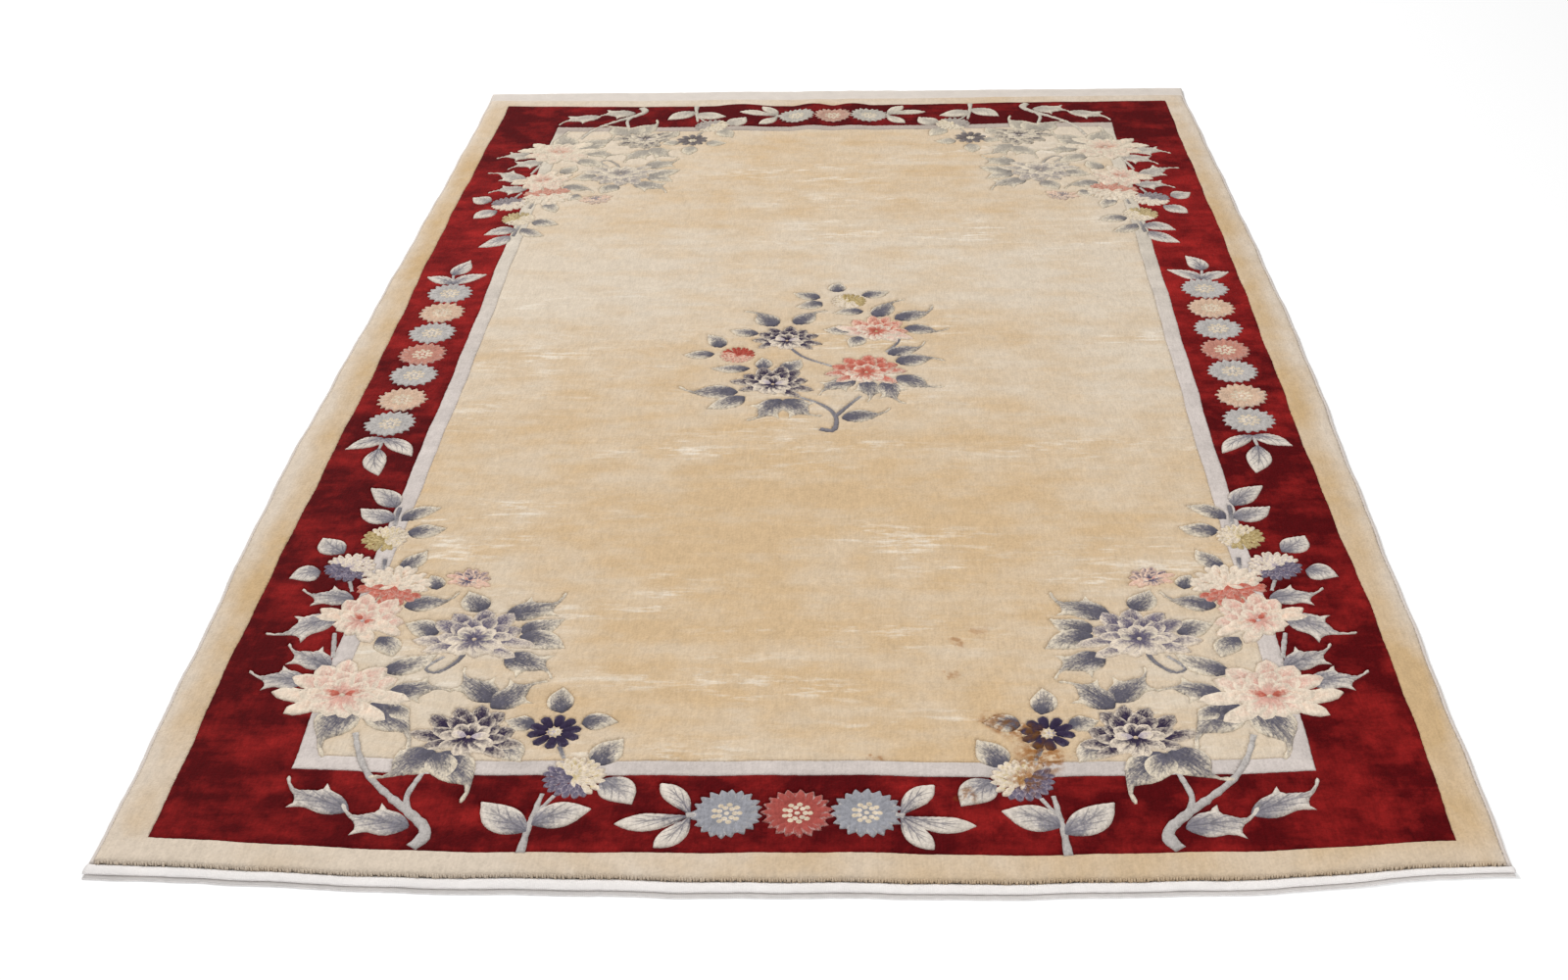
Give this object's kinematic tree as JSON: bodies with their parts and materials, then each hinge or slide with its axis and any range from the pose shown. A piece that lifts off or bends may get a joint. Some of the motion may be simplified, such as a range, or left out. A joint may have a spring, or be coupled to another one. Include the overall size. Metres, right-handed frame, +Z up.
{
  "type": "chinese rug",
  "caption": "Large rectangular hand-knotted rug laid flat, with thick carved pile, corded long sides and flat-woven cotton ends; it covers a floor under furniture.",
  "frame": {"origin": "middle of the rug's outline at floor height", "axes": "+Z up out of the pile, +Y along the rug towards the end with the wider web, +X across the rug to the right as seen from the end with the narrower web"},
  "size_m": [1.8947, 3.1144, 0.0196],
  "materials": {
    "pile": "lustrous clipped pile, cream field, crimson and grey bands, carved flower sprays",
    "web": "matt off-white cotton weave",
    "cord": "matt pale overcast yarn"
  },
  "bodies": {
    "root": {"pile_carpet": "pile", "end_web_front": "web", "end_web_back": "web", "side_cord_left": "cord", "side_cord_right": "cord"}
  },
  "joints": []
}
